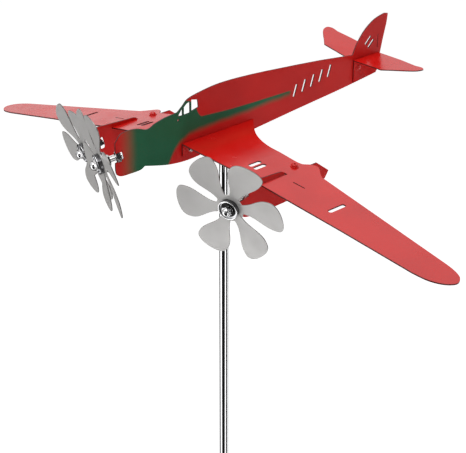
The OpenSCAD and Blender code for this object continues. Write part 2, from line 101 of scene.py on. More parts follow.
class Shader:
    """A node material, with short ways to add the few kinds of node that these need."""

    def __init__(self, name, **sockets):
        self.material = bpy.data.materials.new(name)
        self.material.use_nodes = True
        self.tree = self.material.node_tree
        self.tree.nodes.clear()
        out = self.node("ShaderNodeOutputMaterial")
        self.bsdf = self.node("ShaderNodeBsdfPrincipled")
        self.link(self.bsdf.outputs[0], out.inputs["Surface"])
        for socket, value in sockets.items():
            self.bsdf.inputs[socket.replace("_", " ")].default_value = value
        self.coordinates = self.node("ShaderNodeTexCoord").outputs["Object"]

    def node(self, kind, **settings):
        made = self.tree.nodes.new(kind)
        for name, value in settings.items():
            setattr(made, name, value)
        return made

    def link(self, source, target):
        self.tree.links.new(source, target)

    def put(self, socket, source):
        self.link(source, self.bsdf.inputs[socket])

    def feed(self, socket, value):
        """Links an output, or sets a number or colour, on a socket of a helper node."""
        if isinstance(value, bpy.types.NodeSocket):
            self.link(value, socket)
        else:
            socket.default_value = value

    def noise(self, size, stretch=(1, 1, 1), detail=3.0, roughness=0.5):
        """Noise whose features are about size metres across, drawn out by stretch along each axis."""
        mapping = self.node("ShaderNodeMapping")
        mapping.inputs["Scale"].default_value = [1 / (size * s) for s in stretch]
        self.link(self.coordinates, mapping.inputs["Vector"])
        noise = self.node("ShaderNodeTexNoise")
        noise.inputs["Scale"].default_value = 1
        noise.inputs["Detail"].default_value = detail
        noise.inputs["Roughness"].default_value = roughness
        self.link(mapping.outputs[0], noise.inputs["Vector"])
        return noise.outputs["Fac"]

    def spread(self, value, low, high, start=0.0, end=1.0, smooth=False):
        """Maps low..high onto start..end, clamped."""
        made = self.node("ShaderNodeMapRange", interpolation_type="SMOOTHSTEP" if smooth else "LINEAR")
        self.feed(made.inputs["Value"], value)
        self.feed(made.inputs["From Min"], low)
        self.feed(made.inputs["From Max"], high)
        made.inputs["To Min"].default_value = start
        made.inputs["To Max"].default_value = end
        return made.outputs["Result"]

    def maths(self, operation, a, b=0.0):
        made = self.node("ShaderNodeMath", operation=operation)
        self.feed(made.inputs[0], a)
        self.feed(made.inputs[1], b)
        return made.outputs[0]

    def mix(self, factor, a, b, blend="MIX"):
        made = self.node("ShaderNodeMix", data_type="RGBA", blend_type=blend)
        self.feed(made.inputs["Factor"], factor)
        self.feed(made.inputs["A"], a)
        self.feed(made.inputs["B"], b)
        return made.outputs["Result"]

    def curve(self, value, points):
        """A smooth curve through points, with value and result both from 0 to 1."""
        made = self.node("ShaderNodeFloatCurve")
        line = made.mapping.curves[0]
        line.points[0].location = points[0]
        line.points[1].location = points[-1]
        for point in points[1:-1]:
            line.points.new(*point)
        for point in line.points:
            point.handle_type = "VECTOR"
        made.mapping.update()
        self.feed(made.inputs["Value"], value)
        return made.outputs["Value"]

    def bump(self, height, depth, strength=1.0):
        made = self.node("ShaderNodeBump")
        made.inputs["Strength"].default_value = strength
        made.inputs["Distance"].default_value = depth
        self.link(height, made.inputs["Height"])
        self.put("Normal", made.outputs["Normal"])


def colour(red, green, blue):
    """An sRGB colour of 0 to 255 as the linear colour that a shader takes."""
    linear = [((c / 255 + 0.055) / 1.055) ** 2.4 if c > 10 else c / 255 / 12.92 for c in (red, green, blue)]
    return (*linear, 1)


RED = colour(200, 22, 16)
RED_DEEP = colour(186, 16, 12)
GREEN = colour(28, 98, 66)
GREEN_DEEP = colour(23, 88, 58)
EDGE_RED = colour(92, 10, 10)
EDGE_GREEN = colour(14, 34, 24)
BARE = colour(150, 142, 136)

# The airbrushed scheme on the body, in millimetres: x back from the pole and z up from the nose axle
BODY_X = (-152, 266)
BODY_Z = (-32, 68)
NOSE_FADE = (-149, -121)
SCHEME_TOP = [
    (-152, 68), (-62, 68), (-57, 36.5), (-50, 35), (-42, 29), (-38.5, 19), (-34, 14), (9, 11), (39, 10),
    (102, 8.8), (266, 8.8),
]
SCHEME_BELOW = [
    (-152, -32), (-83, -32), (-78, -22), (-73, -14), (-66, -7.5), (-49, -1), (-35, 0.6), (9, 1.4), (39, 2.7),
    (70, 4), (266, 5),
]
SCHEME_END = (99, 106)
SCHEME_CRISP = 0.9
SCHEME_SOFT = 9
SCHEME_WANDER = 0.8


def body_scheme(s):
    """How green the body is: 1 inside the airbrushed scheme and 0 where it stays red."""
    parts = s.node("ShaderNodeSeparateXYZ")
    s.link(s.coordinates, parts.inputs[0])
    wander = s.spread(s.noise(0.02, detail=2), 0.3, 0.7, -SCHEME_WANDER * MM, SCHEME_WANDER * MM)
    x = parts.outputs["X"]
    z = s.maths("SUBTRACT", parts.outputs["Z"], flight_z)
    along = s.spread(x, BODY_X[0] * MM, BODY_X[1] * MM)

    def limit(points):
        unit = [
            ((px - BODY_X[0]) / (BODY_X[1] - BODY_X[0]), (pz - BODY_Z[0]) / (BODY_Z[1] - BODY_Z[0]))
            for px, pz in points
        ]
        return s.spread(s.curve(along, unit), 0, 1, BODY_Z[0] * MM, BODY_Z[1] * MM)

    below_top = s.spread(
        s.maths("SUBTRACT", limit(SCHEME_TOP), z), -SCHEME_CRISP * MM, SCHEME_CRISP * MM, smooth=True)
    above_foot = s.spread(
        s.maths("ADD", s.maths("SUBTRACT", z, limit(SCHEME_BELOW)), wander),
        -SCHEME_SOFT * 0.5 * MM, SCHEME_SOFT * 0.5 * MM, smooth=True)
    behind_nose = s.spread(s.maths("ADD", x, wander), NOSE_FADE[0] * MM, NOSE_FADE[1] * MM, smooth=True)
    before_end = s.spread(x, SCHEME_END[1] * MM, SCHEME_END[0] * MM, smooth=True)
    mask = s.maths("MULTIPLY", below_top, above_foot)
    mask = s.maths("MULTIPLY", mask, behind_nose)
    return s.maths("MULTIPLY", mask, before_end)


WING_SHINE = 0.78
RED_SHINE = 0.55
DULL = 0.22
MATT = 0.2


def paint(name, specular, scheme=None, matt=0.0):
    """Semi-gloss sprayed paint over steel sheet, with a soft orange peel and a little dust."""
    s = Shader(name, IOR=1.5, Specular_IOR_Level=specular)
    cloud = s.spread(s.noise(0.06, detail=4), 0.3, 0.7)
    base = s.mix(cloud, RED, RED_DEEP)
    if scheme:
        green = s.mix(cloud, GREEN, GREEN_DEEP)
        base = s.mix(scheme(s), base, green)
    speck = s.spread(s.noise(0.0012, detail=2), 0.66, 0.72, 0.0, 0.25)
    base = s.mix(speck, base, colour(96, 22, 20))
    s.put("Base Color", base)
    s.put("Roughness", s.spread(s.noise(0.018, detail=5), 0.3, 0.7, 0.16 + matt, 0.28 + matt))
    s.bump(s.noise(0.0022, detail=2), 0.05 * MM, 0.35)
    return s.material


def cut_edge(name, scheme=None):
    """The laser-cut rim of a sheet, painted much darker than its face so that every cut edge shows as a dark
    outline, and rubbed to bare steel in places.
    """
    s = Shader(name, IOR=1.5)
    base = EDGE_RED
    if scheme:
        base = s.mix(scheme(s), EDGE_RED, EDGE_GREEN)
    base = s.mix(s.spread(s.noise(0.004, detail=3), 0.35, 0.65, 0.0, 0.6), base, colour(30, 8, 8))
    worn = s.spread(s.noise(0.006, detail=6, roughness=0.7), 0.66, 0.7, 0.0, 0.8)
    s.put("Base Color", s.mix(worn, base, BARE))
    s.put("Metallic", worn)
    s.put("Roughness", s.spread(s.noise(0.003), 0.3, 0.7, 0.4, 0.6))
    s.bump(s.noise(0.0008, stretch=(1, 1, 3)), 0.04 * MM, 0.6)
    return s.material


def metal(
    name, light, dark, rough, size=0.01, stretch=(1, 1, 1), lines=(1, 1, 1), depth=0.01, spots=0.0, bare=1.0,
):
    """Bare or plated metal. Its tone and gloss drift over size metres, drawn out by stretch.

    lines is the stretch of its tool marks and depth their height in mm. spots is how dark its stains are."""
    s = Shader(name, Metallic=bare)
    drift = s.noise(size, stretch, detail=4)
    base = s.mix(s.spread(drift, 0.3, 0.7), light, dark)
    if spots:
        base = s.mix(s.spread(s.noise(size * 0.3, detail=6), 0.62, 0.7, 0.0, spots), base, colour(70, 62, 56))
    s.put("Base Color", base)
    marks = s.noise(0.0006, lines, detail=3)
    gloss = s.spread(drift, 0.3, 0.7, rough * 0.85, rough * 1.2)
    s.put("Roughness", s.maths("ADD", s.spread(marks, 0.3, 0.7, -0.03, 0.03), gloss))
    s.bump(marks, depth * MM, 0.5)
    return s.material


def shield(name):
    """The black seal of a bearing, with fine moulding marks and dust."""
    s = Shader(name, Specular_IOR_Level=0.2)
    dust = s.spread(s.noise(0.002, detail=5), 0.45, 0.8, 0.0, 0.12)
    s.put("Base Color", s.mix(dust, colour(12, 11, 12), colour(96, 90, 84)))
    s.put("Roughness", s.spread(s.noise(0.004), 0.3, 0.7, 0.35, 0.6))
    s.bump(s.noise(0.0005), 0.02 * MM, 0.5)
    return s.material


# ---------------------------------------------------------------- mesh helpers


FLAT_COSINE = math.cos(math.radians(3))


def piece(name, bm, body, nodes, materials, place=HERE, smooth=32, flat=()):
    """Makes bm a visible piece on a body, in place of CAD nodes. Faces along flat normals are shaded flat."""
    bm.transform(place)
    bmesh.ops.recalc_face_normals(bm, faces=bm.faces)
    bm.normal_update()
    rounded = [all(face.normal.dot(way) < FLAT_COSINE for way in flat) for face in bm.faces]
    mesh = bpy.data.meshes.new(name)
    bm.to_mesh(mesh)
    bm.free()
    mesh.set_sharp_from_angle(angle=math.radians(smooth))
    mesh.polygons.foreach_set("use_smooth", rounded)
    for material in materials:
        mesh.materials.append(material)
    made = bpy.data.objects.new(name, mesh)
    bpy.context.scene.collection.objects.link(made)
    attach(made, body)
    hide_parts(*nodes)
    return made


def fillet(points, radius, steps=3, closed=True):
    """Rounds the corners of an outline. An open outline keeps its first and last points."""
    made = []
    last = len(points) - 1
    for i, point in enumerate(points):
        if not closed and i in (0, last):
            made.append(tuple(point))
            continue
        here, before, after = Vector(point), Vector(points[i - 1]), Vector(points[(i + 1) % len(points)])
        cut = min(radius, (before - here).length * 0.45, (after - here).length * 0.45)
        a = here + (before - here).normalized() * cut
        b = here + (after - here).normalized() * cut
        for k in range(steps + 1):
            t = k / steps
            made.append(tuple(a * (1 - t) ** 2 + here * 2 * t * (1 - t) + b * t * t))
    return made


def lathe(bm, profile, place=HERE, segments=64, open_ends=False):
    """Turns (radius, height) points about Z. With open_ends the profile starts and ends on the axis."""
    rings = []
    for radius, height in profile:
        if radius < 1e-7:
            rings.append([bm.verts.new(place @ Vector((0, 0, height)))] * segments)
            continue
        turns = [2 * math.pi * i / segments for i in range(segments)]
        rings.append([
            bm.verts.new(place @ Vector((radius * math.cos(a), radius * math.sin(a), height))) for a in turns
        ])
    pairs = list(zip(rings, rings[1:]))
    if not open_ends:
        pairs.append((rings[-1], rings[0]))
    for low, high in pairs:
        for i in range(segments):
            j = (i + 1) % segments
            corners = list(dict.fromkeys([low[i], low[j], high[j], high[i]]))
            if len(corners) > 2:
                bm.faces.new(corners)


def turned_ring(bm, z0, z1, bore, radius, place=HERE, edge=0.25 * MM, segments=64):
    """A ring or washer with rounded edges."""
    lathe(bm, fillet([(bore, z0), (radius, z0), (radius, z1), (bore, z1)], edge), place, segments)


def turned_rod(bm, z0, z1, radius, place=HERE, edge=0.4 * MM, segments=48):
    """A solid rod with rounded ends."""
    profile = fillet([(0, z0), (radius, z0), (radius, z1), (0, z1)], edge, closed=False)
    lathe(bm, profile, place, segments, open_ends=True)


def hex_reach(turn, across):
    """Distance from the middle of a hexagon to its side, in direction turn from one of its corners."""
    return across / 2 / math.cos((turn % (math.pi / 3)) - math.pi / 6)


NUT_SAMPLES = 72
NUT_CHAMFER = math.tan(math.radians(30))
NUT_LAND = 0.4 * MM
QUARTER = [math.pi / 2 * k / 8 for k in range(8)]


def hexagon(bm, z0, z1, bore, across, turn=0.0, place=HERE, dome=None):
    """A chamfered nut about Z. A dome (radius, top) closes its upper end in an acorn."""
    face = across / 2 * 0.96
    rows = []
    for i in range(NUT_SAMPLES):
        a = 2 * math.pi * i / NUT_SAMPLES
        reach = hex_reach(a, across)
        drop = (reach - face) * NUT_CHAMFER
        spots = [
            (bore, z0), (bore + NUT_LAND, z0), (face, z0), (reach, z0 + drop), (reach, z1 - drop), (face, z1),
        ]
        if dome:
            radius, top = dome
            rise = top - z1
            spots += [(radius * math.cos(t), z1 + rise * math.sin(t)) for t in QUARTER]
        else:
            spots += [(bore + NUT_LAND, z1), (bore, z1)]
        way = Vector((math.cos(a + turn), math.sin(a + turn), 0))
        rows.append([bm.verts.new(place @ (way * r + Vector((0, 0, z)))) for r, z in spots])
    for row, following in zip(rows, rows[1:] + rows[:1]):
        for k in range(len(row) - 1):
            bm.faces.new([row[k], following[k], following[k + 1], row[k + 1]])
        if not dome:
            bm.faces.new([row[-1], following[-1], following[0], row[0]])
    if dome:
        bm.faces.new([row[-1] for row in rows])
        bm.faces.new([row[0] for row in reversed(rows)])


THREAD_STEPS = 20


def threaded_rod(bm, z0, z1, radius, pitch, place=HERE):
    """A rod with a helical thread that fades out at both ends."""
    depth = pitch * 0.5
    core = radius - depth
    turned_rod(bm, z0, z1, core, place, edge=0.5 * MM, segments=32)
    steps = int((z1 - z0 - 1.4 * pitch) / pitch * THREAD_STEPS)
    rows = []
    for i in range(steps + 1):
        a = 2 * math.pi * i / THREAD_STEPS
        z = z0 + 0.7 * pitch + pitch * i / THREAD_STEPS
        full = min(1, i / THREAD_STEPS + 0.05, (steps - i) / THREAD_STEPS + 0.05)
        crest = core + depth * full
        way = Vector((math.cos(a), math.sin(a), 0))
        spots = [
            (core - 0.1 * MM, z - 0.45 * pitch), (crest, z - 0.1 * pitch),
            (crest, z + 0.1 * pitch), (core - 0.1 * MM, z + 0.45 * pitch),
        ]
        rows.append([bm.verts.new(place @ (way * r + Vector((0, 0, h)))) for r, h in spots])
    for row, following in zip(rows, rows[1:]):
        for k in range(4):
            m = (k + 1) % 4
            bm.faces.new([row[k], row[m], following[m], following[k]])
    bm.faces.new(rows[0])
    bm.faces.new(list(reversed(rows[-1])))


def span(node, place=HERE, near=0.03):
    """Measures a CAD node about a place's Z axis, among its points that lie within near of it.

    Gives its low and high ends, its least and greatest radius, and the turn of its farthest point."""
    back = place.inverted()
    points = [back @ v.co for v in frame["nodes"][node].data.vertices]
    points = [p for p in points if p.xy.length < near]
    far = max(points, key=lambda p: p.xy.length)
    heights = [p.z for p in points]
    radii = [p.xy.length for p in points]
    return min(heights), max(heights), min(radii), max(radii), math.atan2(far.y, far.x)


def clusters(node, axis, gap=5 * MM):
    """Middles of the separate solids of a CAD node that lie in a row along an axis."""
    points = sorted((v.co for v in frame["nodes"][node].data.vertices), key=lambda p: p[axis])
    groups = [[points[0]]]
    for point in points[1:]:
        if point[axis] - groups[-1][-1][axis] > gap:
            groups.append([])
        groups[-1].append(point)
    middles = []
    for group in groups:
        low = Vector([min(p[i] for p in group) for i in range(3)])
        high = Vector([max(p[i] for p in group) for i in range(3)])
        middles.append((low + high) / 2)
    return middles


# ---------------------------------------------------------------- sheet metal

RIM_ROUND = 0.22 * MM
SHEET_T = 1.5 * MM
TAIL_T = 1.2 * MM
FLAT_AREA = 25 * MM * MM
WELD_GAP = 0.002 * MM
COPLANAR = math.radians(0.6)
RIM_ANGLE = math.radians(50)
RAY_START = 0.01 * MM
DEEP = 1.25


def sheet_piece(node, thickness, face, rim):
    """A sheet-metal node with its cut edges rounded.

    A face is on the rim where the metal behind its largest triangle is deeper than the sheet is thick."""
    source = frame["nodes"][node].data
    bm = bmesh.new()
    bm.from_mesh(source)
    bmesh.ops.remove_doubles(bm, verts=bm.verts, dist=WELD_GAP)
    bmesh.ops.dissolve_limit(bm, angle_limit=COPLANAR, verts=bm.verts, edges=bm.edges)
    bmesh.ops.recalc_face_normals(bm, faces=bm.faces)
    bm.normal_update()
    solid = BVHTree.FromBMesh(bm)
    widest = {}
    for loops in bm.calc_loop_triangles():
        a, b, c = (loop.vert.co for loop in loops)
        area = (b - a).cross(c - a).length
        if area > widest.get(loops[0].face, (0, None))[0]:
            widest[loops[0].face] = (area, (a + b + c) / 3)
    for f, (_, middle) in widest.items():
        depth = solid.ray_cast(middle - f.normal * RAY_START, -f.normal)[3]
        f.material_index = 0 if depth is not None and depth < thickness * DEEP else 1
    flat = []
    for f in bm.faces:
        if f.material_index == 0 and f.calc_area() > FLAT_AREA:
            if all(f.normal.dot(way) < FLAT_COSINE for way in flat):
                flat.append(f.normal.copy())
    sharp = [
        e for e in bm.edges
        if len(e.link_faces) == 2 and e.calc_face_angle(0) > RIM_ANGLE
        and len({f.material_index for f in e.link_faces}) == 2
    ]
    bmesh.ops.bevel(
        bm, geom=sharp, offset=RIM_ROUND, offset_type="OFFSET", segments=2, profile=0.5, affect="EDGES",
        clamp_overlap=True, material=-1)
    piece(node + "_sheet", bm, body_of(node), [node], [face, rim], smooth=40, flat=flat)


def body_of(node):
    for body, members in frame["record"]["behaviour"]["bodies"].items():
        if node in members:
            return body
    return "root"


# ---------------------------------------------------------------- the engines

ENGINES = ("nose", "port", "starboard")
PROP_TURN = {"nose": 19.5, "port": 6.5, "starboard": 16.5}
PROP_R = 58 * MM
BLADE_T = 1 * MM
BLADE_W = 33.5 * MM
BLADE_SWEEP = 6.5 * MM
NECK_W = 9.5 * MM
BLADE_ROOT_R = 9 * MM
BOSS_R = 15 * MM
ROOT_PITCH = math.radians(-2.5)
TIP_PITCH = math.radians(-4)
BLADE_CONE = 2.5 * MM
WIDEST = 0.75
SWELL_POWER = 2.7
END_POWER = 3.2
BLADE_TIP_HALF = 0.3 * MM
THREAD_PITCH = 1 * MM
M6_ACROSS = 10 * MM
M6_BORE = 2.6 * MM
DOMED_HEX_H = 3.8 * MM
DOME_R = 4.4 * MM


def engine_place(name):
    """Frame of an engine: origin in its propeller sheet, Z forward along the axle, X as near up as can be."""
    joint = next(j for j in frame["joints"] if j["name"] == name + "_spin")
    ahead = Vector(joint["axis"]).normalized()
    up = (Vector((0, 0, 1)) - ahead * ahead.z).normalized()
    side = ahead.cross(up)
    place = Matrix((up, side, ahead)).transposed().to_4x4()
    place.translation = Vector(joint["pos_m"])
    return place


def blade_half(u):
    """Half the width of a blade at share u of its length: a narrow neck, a broad petal and a round end."""
    width = NECK_W + (BLADE_W - NECK_W) * math.sin(math.radians(min(1, u / WIDEST) * 90)) ** SWELL_POWER
    end = 1 if u < WIDEST else max(0, 1 - ((u - WIDEST) / (1 - WIDEST)) ** END_POWER) ** 0.5
    return width * end / 2 + BLADE_TIP_HALF


BLADE_ROWS = 44
BLADE_SECTION = [
    (-1, -0.22), (-0.986, -0.5), (-0.6, -0.5), (0, -0.5), (0.6, -0.5), (0.986, -0.5),
    (1, -0.22), (1, 0.22), (0.986, 0.5), (0.6, 0.5), (0, 0.5), (-0.6, 0.5), (-0.986, 0.5), (-1, 0.22),
]
BLADE_CAMBER = 0.35 * MM


def blade(bm, turn):
    """One petal, slightly dished across its width, with rounded edges."""
    spin = Matrix.Rotation(turn, 4, "Z")
    rows = []
    for i in range(BLADE_ROWS + 1):
        u = math.sin(math.pi / 2 * i / BLADE_ROWS)
        radius = BLADE_ROOT_R + u * (PROP_R - BLADE_ROOT_R)
        half = blade_half(u)
        pitch = ROOT_PITCH + (TIP_PITCH - ROOT_PITCH) * min(1, u / 0.4)
        middle = BLADE_SWEEP * u * u
        dish = BLADE_CAMBER * math.sin(math.pi * u)
        rise = BLADE_CONE * u ** 1.5
        row = []
        for across, through in BLADE_SECTION:
            x = middle + across * half
            z = through * BLADE_T + dish * (across * across - 0.5)
            spot = Vector((
                x * math.cos(pitch) - z * math.sin(pitch),
                radius,
                x * math.sin(pitch) + z * math.cos(pitch) + rise,
            ))
            row.append(bm.verts.new(spin @ spot))
        rows.append(row)
    count = len(BLADE_SECTION)
    for row, following in zip(rows, rows[1:]):
        for k in range(count):
            m = (k + 1) % count
            made = bm.faces.new([row[k], row[m], following[m], following[k]])
            made.material_index = 1 if k in (0, 5, 6, 7, 12, 13) else 0
    bm.faces.new(list(reversed(rows[0])))
    bm.faces.new(rows[-1]).material_index = 1


def propeller(name, place, looks):
    bm = bmesh.new()
    cup_r = span(name + "_hub_cup", place)[3]
    turned_ring(bm, -BLADE_T / 2, BLADE_T / 2, cup_r, BOSS_R, edge=0.2 * MM, segments=96)
    for k in range(6):
        blade(bm, math.radians(PROP_TURN[name] + 60 * k))
    body = name + "_propeller"
    petals = [looks["petal"], looks["petal_rim"]]
    piece(name + "_blades", bm, body, [name + "_prop"], petals, place)


def hub(name, place, looks):
    """The cup with its lip, and the bearing inside it."""
    body = name + "_propeller"
    back, front, lip, cup_r, _ = span(name + "_hub_cup", place)
    ring_back, ring_front, race_r, bearing_r, _ = span(name + "_bearing_ring", place)
    bm = bmesh.new()
    profile = [
        (lip, back), (cup_r - 0.6 * MM, back), (cup_r, back + 0.6 * MM), (cup_r, front), (bearing_r, front),
        (bearing_r, ring_back), (lip, ring_back),
    ]
    lathe(bm, fillet(profile, 0.3 * MM), segments=96)
    # The cup's outer wall takes a dark copy of the same chrome: painted shade and reflection, a dark ring round
    # each hub.
    for f in bm.faces:
        f.material_index = 1 if min(v.co.xy.length for v in f.verts) > cup_r - 0.01 * MM else 0
    chromes = [looks["chrome"], looks["chrome_painted_shade"]]
    piece(name + "_cup", bm, body, [name + "_hub_cup"], chromes, place)
    bm = bmesh.new()
    turned_ring(bm, ring_back, ring_front, race_r, bearing_r, edge=0.4 * MM, segments=96)
    piece(name + "_race", bm, body, [name + "_bearing_ring"], [looks["ground"]], place)
    low, high, seal_bore, seal_r, _ = span(name + "_bearing_shields", place)
    seal_t = 0.4 * MM
    bm = bmesh.new()
    for z, out in ((low, -1), (high - seal_t, 1)):
        step = 0.15 * MM * out
        middle = (seal_bore + seal_r) / 2
        z0, z1 = z, z + seal_t
        face, rear = (z1, z0) if out > 0 else (z0, z1)
        profile = [
            (seal_bore, rear), (seal_r, rear), (seal_r, face), (middle + 0.7 * MM, face),
            (middle + 0.5 * MM, face - step), (middle - 0.5 * MM, face - step), (middle - 0.7 * MM, face),
            (seal_bore, face),
        ]
        lathe(bm, profile, segments=72)
    piece(name + "_seals", bm, body, [name + "_bearing_shields"], [looks["seal"]], place)
    frame["nodes"][name + "_bearing_balls"].data.materials.clear()
    frame["nodes"][name + "_bearing_balls"].data.materials.append(looks["ball"])


def engine_stack(places, looks):
    """What stays still on the three axles: threads, nuts, spacers and domed nuts."""
    for name in ENGINES:
        place = places[name]
        low, high, _, radius, _ = span(name + "_axle", place)
        bm = bmesh.new()
        threaded_rod(bm, low, high, radius, THREAD_PITCH)
        piece(name + "_threaded_axle", bm, "airframe", [name + "_axle"], [looks["zinc"]], place)
    for node, look, slot in (("captive_nuts", "nut", "zinc_steel"), ("lock_nuts", "nut", "zinc_steel")):
        bm = bmesh.new()
        for name in ENGINES:
            low, high, bore, _, turn = span(node, places[name])
            hexagon(bm, low, high, bore, M6_ACROSS, turn, places[name])
        piece(node + "_chamfered", bm, "airframe", [node], [looks[look]], smooth=25)
    for node, look, slot in (
        ("rear_spacers", "zinc", "zinc_steel"), ("front_washers", "zinc", "zinc_steel"),
        ("bearing_inner_rings", "ground", "bearing_steel"),
    ):
        bm = bmesh.new()
        for name in ENGINES:
            low, high, bore, radius, _ = span(node, places[name])
            turned_ring(bm, low, high, bore, radius, places[name])
        piece(node + "_turned", bm, "airframe", [node], [looks[look]])
    bm = bmesh.new()
    for name in ENGINES:
        low, high, bore, _, turn = span("acorn_nuts", places[name])
        hexagon(bm, low, low + DOMED_HEX_H, M6_BORE, M6_ACROSS, turn, places[name], dome=(DOME_R, high))
    piece("acorn_nuts_domed", bm, "airframe", ["acorn_nuts"], [looks["chrome"]], smooth=25)


# ---------------------------------------------------------------- pole and swivel


SPIKE_POINT_R = 0.8 * MM
COLLAR_HALF = 2 * MM
FLANGE_T = 2 * MM
PIN_SLACK = 0.1 * MM


def pole(looks):
    mirror = [looks["tube"]]
    low, high, _, radius, _ = span("ground_spike")
    foot = 0.0  # the straight shank starts at the frame's origin
    bore = span("lower_pole")[2]
    plug_low = span("lower_coupler")[0]
    bm = bmesh.new()
    profile = [
        (0, low), (SPIKE_POINT_R, low), (radius, foot), (radius, high), (bore, high), (bore, plug_low),
        (0, plug_low),
    ]
    lathe(bm, fillet(profile, 0.3 * MM, closed=False), segments=96, open_ends=True)
    piece("spike", bm, "pole", ["ground_spike"], mirror)
    for node in ("lower_pole", "upper_pole"):
        low, high, bore, radius, _ = span(node)
        bm = bmesh.new()
        turned_ring(bm, low, high, bore, radius, edge=0.2 * MM, segments=96)
        piece(node + "_tube", bm, "pole", [node], mirror)
    for node in ("lower_coupler", "upper_coupler"):
        low, high, _, radius, _ = span(node)
        middle = (low + high) / 2
        under, over = middle - COLLAR_HALF, middle + COLLAR_HALF
        bm = bmesh.new()
        profile = [
            (0, low), (bore, low), (bore, under), (radius, under), (radius, over), (bore, over), (bore, high),
            (0, high),
        ]
        lathe(bm, fillet(profile, 0.35 * MM, closed=False), segments=96, open_ends=True)
        piece(node + "_turned", bm, "pole", [node], [looks["turned"]])
    low, high, _, radius, _ = span("pivot_spindle")
    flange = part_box("upper_pole")[1].z
    top = flange + FLANGE_T
    pin = span("thrust_washer")[2] - PIN_SLACK
    bm = bmesh.new()
    profile = [
        (0, low), (bore, low), (bore, flange), (radius, flange), (radius, top), (pin, top), (pin, high),
        (0, high),
    ]
    lathe(bm, fillet(profile, 0.3 * MM, closed=False), segments=64, open_ends=True)
    piece("spindle", bm, "pole", ["pivot_spindle"], [looks["turned"]])
    bm = bmesh.new()
    turned_ring(bm, *span("thrust_washer")[:4])
    piece("washer_of_brass", bm, "pole", ["thrust_washer"], [looks["brass"]])


WELD_RIPPLES = 14
WELD_INSET = 1.15 * MM
WELD_R = 1.02 * MM
RIPPLE_R = 0.1 * MM


def swivel(looks):
    bm = bmesh.new()
    turned_ring(bm, *span("pivot_sleeve")[:4], edge=0.5 * MM)
    piece("sleeve", bm, "airframe", ["pivot_sleeve"], [looks["turned"]])
    low, high, _, radius, _ = span("thrust_plug")
    bm = bmesh.new()
    turned_rod(bm, low, high, radius)
    piece("plug", bm, "airframe", ["thrust_plug"], [looks["turned"]])
    frame["nodes"]["thrust_ball"].data.materials.clear()
    frame["nodes"]["thrust_ball"].data.materials.append(looks["ball"])
    low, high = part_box("sleeve_welds")
    bm = bmesh.new()
    rise = high.z - low.z
    profile = [(0, 0)]
    steps = WELD_RIPPLES * 4
    for i in range(steps + 1):
        t = i / steps
        swell = min(1, t * 8, (1 - t) * 8) ** 0.5
        ripple = RIPPLE_R * abs(math.sin(math.pi * WELD_RIPPLES * t))
        profile.append((swell * (WELD_R + ripple) + 1e-6, t * rise))
    profile.append((0, rise))
    for a in (-1, 1):
        for b in (-1, 1):
            place = Matrix.Translation((a * (high.x - WELD_INSET), b * (high.y - WELD_INSET), low.z))
            lathe(bm, profile, place, 20, open_ends=True)
    piece("weld_beads", bm, "airframe", ["sleeve_welds"], [looks["weld"]], smooth=60)


# ---------------------------------------------------------------- fasteners of the sheets

OUTER_DROOP = math.radians(10)
M4_R = 2 * MM
M4_ACROSS = 7 * MM
ROOT_HEAD_R = 3.8 * MM
NACELLE_HEAD_R = 3.5 * MM
SOCKET_ACROSS = 2.5 * MM
SOCKET_RIM_R = 1.6 * MM
SOCKET_LIP = 0.15 * MM
SOCKET_DEPTH = 1.2 * MM
RIVET_HEAD_R = 2.8 * MM
RIVET_HEAD_H = 1.1 * MM
RIVET_R = 1.5 * MM


def axis_place(middle, axis):
    """A frame at middle with Z along axis."""
    place = Vector(axis).to_track_quat("Z", "X").to_matrix().to_4x4()
    place.translation = middle
    return place


def socket_screw(bm, foot, seat, top, shank, head, place):
    """A button-head screw with a hexagon socket, from foot up to top, its head seated at seat."""
    sunk = seat + 0.1 * MM
    profile = fillet([(0, foot), (shank, foot), (shank, sunk), (0, sunk)], 0.3 * MM, closed=False)
    lathe(bm, profile, place, 32, open_ends=True)
    rise = top - seat
    rows = []
    for i in range(NUT_SAMPLES):
        a = 2 * math.pi * i / NUT_SAMPLES
        socket = hex_reach(a, SOCKET_ACROSS)
        way = Vector((math.cos(a), math.sin(a), 0))
        spots = [(head * 0.98, seat)]
        spots += [
            (head * (1 - 0.42 * (1 - math.cos(t))), seat + rise * math.sin(t) * 0.98)
            for t in (math.pi / 2 * k / 7 for k in range(1, 8))
        ]
        spots += [(SOCKET_RIM_R, top), (socket, top - SOCKET_LIP), (socket, top - SOCKET_DEPTH)]
        rows.append([bm.verts.new(place @ (way * r + Vector((0, 0, z)))) for r, z in spots])
    for row, following in zip(rows, rows[1:] + rows[:1]):
        for k in range(len(row) - 1):
            bm.faces.new([row[k], following[k], following[k + 1], row[k + 1]])
    bm.faces.new([row[-1] for row in rows])
    bm.faces.new([row[0] for row in reversed(rows)])


def root_fasteners(looks):
    middles = clusters("wing_root_screws", 0)
    bm = bmesh.new()
    for middle in middles:
        place = axis_place(Vector((middle.x, 0, middle.z)), (0, -1, 0))
        low, high, _, _, _ = span("wing_root_screws", place, near=5 * MM)
        socket_screw(bm, low, SHEET_T * 1.5, high, M4_R, ROOT_HEAD_R, place)
    piece("root_screws", bm, "airframe", ["wing_root_screws"], [looks["zinc"]])
    bm = bmesh.new()
    for middle in middles:
        place = axis_place(Vector((middle.x, 0, middle.z)), (0, -1, 0))
        low, high, _, _, turn = span("wing_root_nuts", place, near=5 * MM)
        hexagon(bm, low, high, M4_R, M4_ACROSS, turn, place)
    piece("root_nuts", bm, "airframe", ["wing_root_nuts"], [looks["nut"]], smooth=25)


